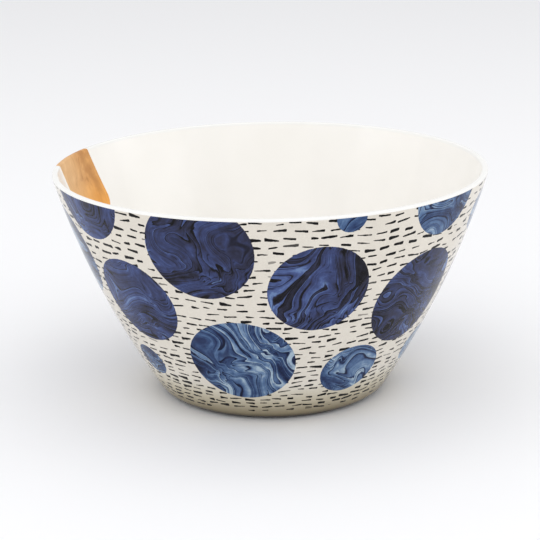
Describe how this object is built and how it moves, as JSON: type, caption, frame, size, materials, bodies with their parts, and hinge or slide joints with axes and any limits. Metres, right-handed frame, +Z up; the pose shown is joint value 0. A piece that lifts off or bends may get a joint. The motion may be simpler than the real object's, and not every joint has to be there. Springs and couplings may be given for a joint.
{
  "type": "salad bowl",
  "caption": "Round turned salad bowl with a gently bowed flaring wall, a thin rounded lip, a round-cornered foot and a shallow recess beneath.",
  "frame": {"origin": "centre of the underside, on the surface that the bowl stands on", "axes": "+Z up along the bowl's axis; the picture looks along +Y; the bare patch inside is at the far left, towards -X and +Y"},
  "size_m": [0.25, 0.25, 0.132],
  "materials": {
    "enamelled_wood": "turned wood under gloss enamel: white inside and on the lip, printed with blue marbled spots and short dark dashes on ivory outside, with one patch inside left bare"
  },
  "bodies": {
    "root": {"bowl": "enamelled_wood"}
  },
  "joints": []
}
